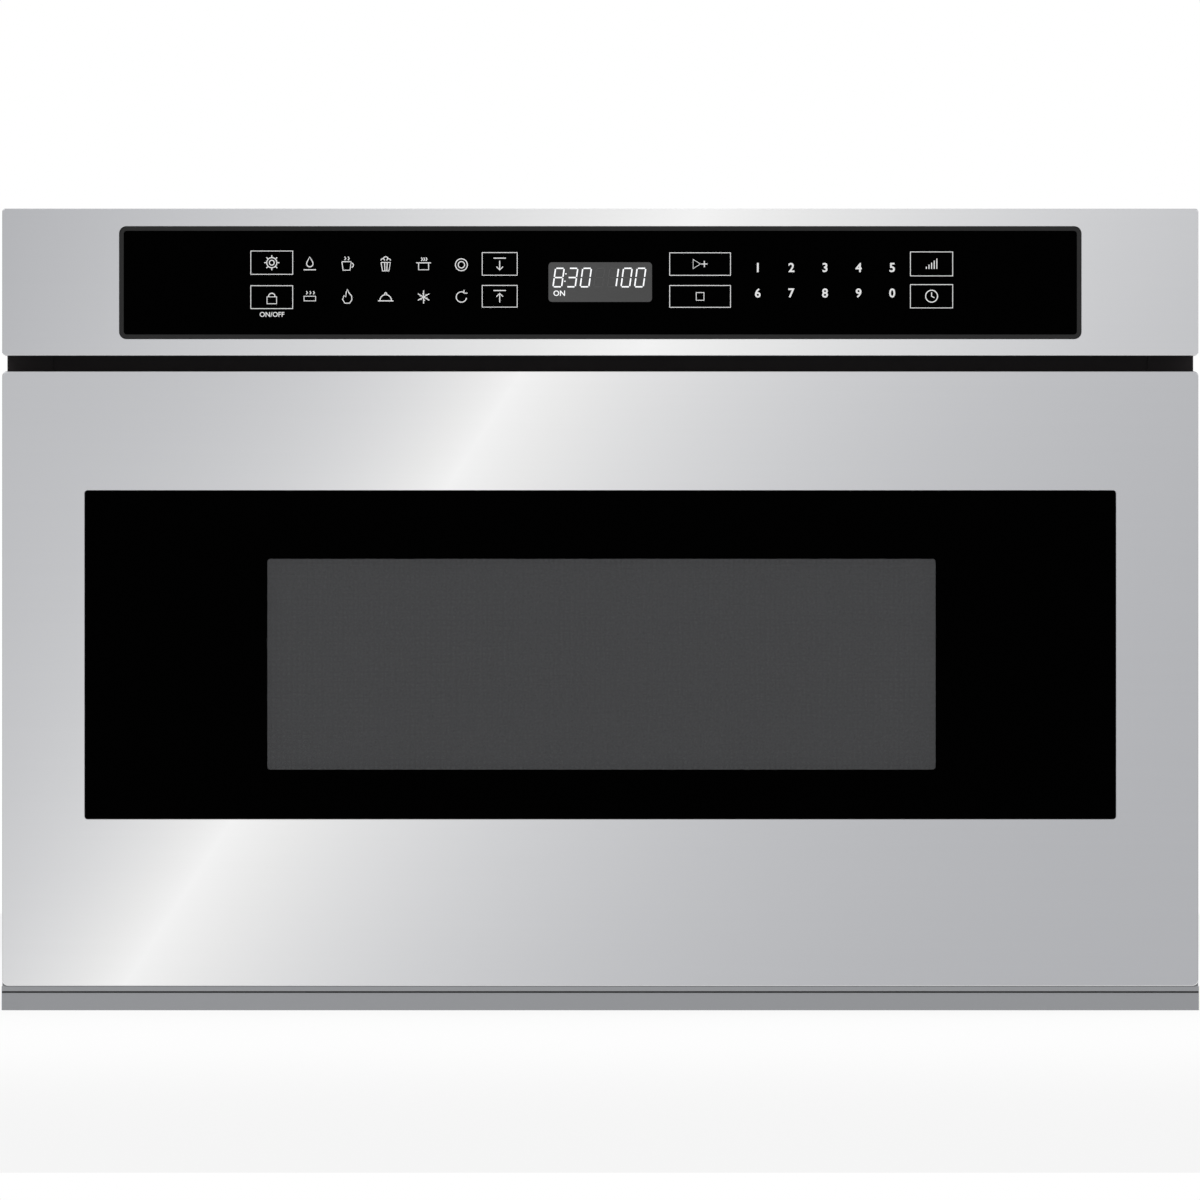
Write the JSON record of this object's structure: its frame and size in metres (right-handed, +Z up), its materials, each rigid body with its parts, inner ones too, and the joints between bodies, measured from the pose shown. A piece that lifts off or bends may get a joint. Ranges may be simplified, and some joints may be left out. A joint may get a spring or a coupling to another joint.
{
  "type": "microwave drawer",
  "caption": "Built-in microwave oven drawer: a stainless front with a dark window slides out on telescopic rails with its open cooking tub, under a flat touch-control panel.",
  "frame": {"origin": "under the middle of the unit, at the height of the bottom trim's lower edge", "axes": "+X to the right seen from the front, +Y towards the rear cover, +Z up; the drawer opens towards -Y"},
  "size_m": [0.6064, 0.594, 0.406],
  "materials": {
    "stainless": "brushed along the width, satin",
    "black_steel": "satin black coating",
    "galvanised": "zinc-coated sheet, faint spangle",
    "slide_zinc": "bright zinc plate",
    "cavity_paint": "smooth grey oven coating",
    "steel": "varnished laminations and dark steel",
    "aluminium": "mill finish",
    "black_plastic": "fine moulded grain",
    "grey_plastic": "fine moulded grain",
    "dark_rim": "satin moulded rim",
    "pale_plastic": "natural acetal and nylon",
    "black_glass": "polished, back-printed black",
    "clear_glass": "polished",
    "shelf_ceramic": "smooth glass ceramic, satin gloss",
    "mica": "pressed mica sheet",
    "circuit_board": "solder mask",
    "rubber": "matt"
  },
  "bodies": {
    "cabinet": {"air_duct": "pale_plastic", "base_pan": "galvanised", "bottom_trim": "stainless", "cavity_shell": "cavity_paint", "control_bezel": "stainless", "control_board": "circuit_board", "control_carrier": "dark_rim", "control_glass": "black_glass", "cord_gland": "rubber", "display_module": "grey_plastic", "drive_bracket": "galvanised", "drive_motor": "steel", "fan_housing": "galvanised", "fan_motor": "steel", "front_frame": "black_steel", "humidity_sensor": "galvanised", "hv_capacitor": "aluminium", "hv_transformer": "steel", "lamp_holder": "galvanised", "left_door_switch": "black_plastic", "left_outer_rail": "slide_zinc", "left_side_panel": "galvanised", "magnetron": "aluminium", "noise_filter_board": "circuit_board", "oven_lamp": "clear_glass", "rack_guide": "aluminium", "rear_cover": "galvanised", "right_door_switch": "black_plastic", "right_outer_rail": "slide_zinc", "right_side_panel": "galvanised", "stirrer_motor": "galvanised", "top_cover": "galvanised", "waveguide": "galvanised", "waveguide_cover": "mica"},
    "drawer": {"drawer_front_panel": "stainless", "door_glass": "black_glass", "glass_retainer": "black_plastic", "window_screen": "black_steel", "door_frame": "black_steel", "choke_cover": "grey_plastic", "inner_window": "clear_glass", "drawer_tub": "cavity_paint", "glass_shelf": "shelf_ceramic", "left_inner_rail": "slide_zinc", "right_inner_rail": "slide_zinc", "left_rail_bracket": "galvanised", "right_rail_bracket": "galvanised", "gear_rack": "pale_plastic", "rack_bracket": "galvanised", "left_latch_hook": "pale_plastic", "right_latch_hook": "pale_plastic"},
    "left_middle_slide": {"left_middle_rail": "slide_zinc"},
    "left_outer_cage": {"left_outer_ball_cage": "slide_zinc"},
    "left_inner_cage": {"left_inner_ball_cage": "slide_zinc"},
    "right_middle_slide": {"right_middle_rail": "slide_zinc"},
    "right_outer_cage": {"right_outer_ball_cage": "slide_zinc"},
    "right_inner_cage": {"right_inner_ball_cage": "slide_zinc"},
    "pinion": {"drive_pinion": "pale_plastic"},
    "fan": {"fan_blade": "black_plastic"},
    "stirrer": {"stirrer_antenna": "aluminium"}
  },
  "joints": [
    {"name": "drawer_slide", "type": "slide", "parent": "cabinet", "child": "drawer", "axis": [0, -1, 0], "range_m": [0, 0.38]},
    {"name": "left_middle_slide_travel", "type": "slide", "parent": "cabinet", "child": "left_middle_slide", "axis": [0, -1, 0], "range_m": [0, 0.19]},
    {"name": "left_outer_cage_travel", "type": "slide", "parent": "cabinet", "child": "left_outer_cage", "axis": [0, -1, 0], "range_m": [0, 0.095]},
    {"name": "left_inner_cage_travel", "type": "slide", "parent": "cabinet", "child": "left_inner_cage", "axis": [0, -1, 0], "range_m": [0, 0.285]},
    {"name": "right_middle_slide_travel", "type": "slide", "parent": "cabinet", "child": "right_middle_slide", "axis": [0, -1, 0], "range_m": [0, 0.19]},
    {"name": "right_outer_cage_travel", "type": "slide", "parent": "cabinet", "child": "right_outer_cage", "axis": [0, -1, 0], "range_m": [0, 0.095]},
    {"name": "right_inner_cage_travel", "type": "slide", "parent": "cabinet", "child": "right_inner_cage", "axis": [0, -1, 0], "range_m": [0, 0.285]},
    {"name": "pinion_spin", "type": "hinge", "parent": "cabinet", "child": "pinion", "pos_m": [0, -0.2305, 0.037], "axis": [1, 0, 0], "range_deg": [0, 1210]},
    {"name": "fan_spin", "type": "hinge", "parent": "cabinet", "child": "fan", "pos_m": [-0.11, 0.2315, 0.2532], "axis": [1, 0, 0], "continuous": true},
    {"name": "stirrer_spin", "type": "hinge", "parent": "cabinet", "child": "stirrer", "pos_m": [0, -0.0405, 0.29], "axis": [0, 0, 1], "continuous": true}
  ],
  "couplings": [
    {"joint": "left_middle_slide_travel", "follows": "drawer_slide", "ratio": 0.5},
    {"joint": "left_outer_cage_travel", "follows": "drawer_slide", "ratio": 0.25},
    {"joint": "left_inner_cage_travel", "follows": "drawer_slide", "ratio": 0.75},
    {"joint": "right_middle_slide_travel", "follows": "drawer_slide", "ratio": 0.5},
    {"joint": "right_outer_cage_travel", "follows": "drawer_slide", "ratio": 0.25},
    {"joint": "right_inner_cage_travel", "follows": "drawer_slide", "ratio": 0.75},
    {"joint": "pinion_spin", "follows": "drawer_slide", "rad_per_m": 55.556}
  ]
}
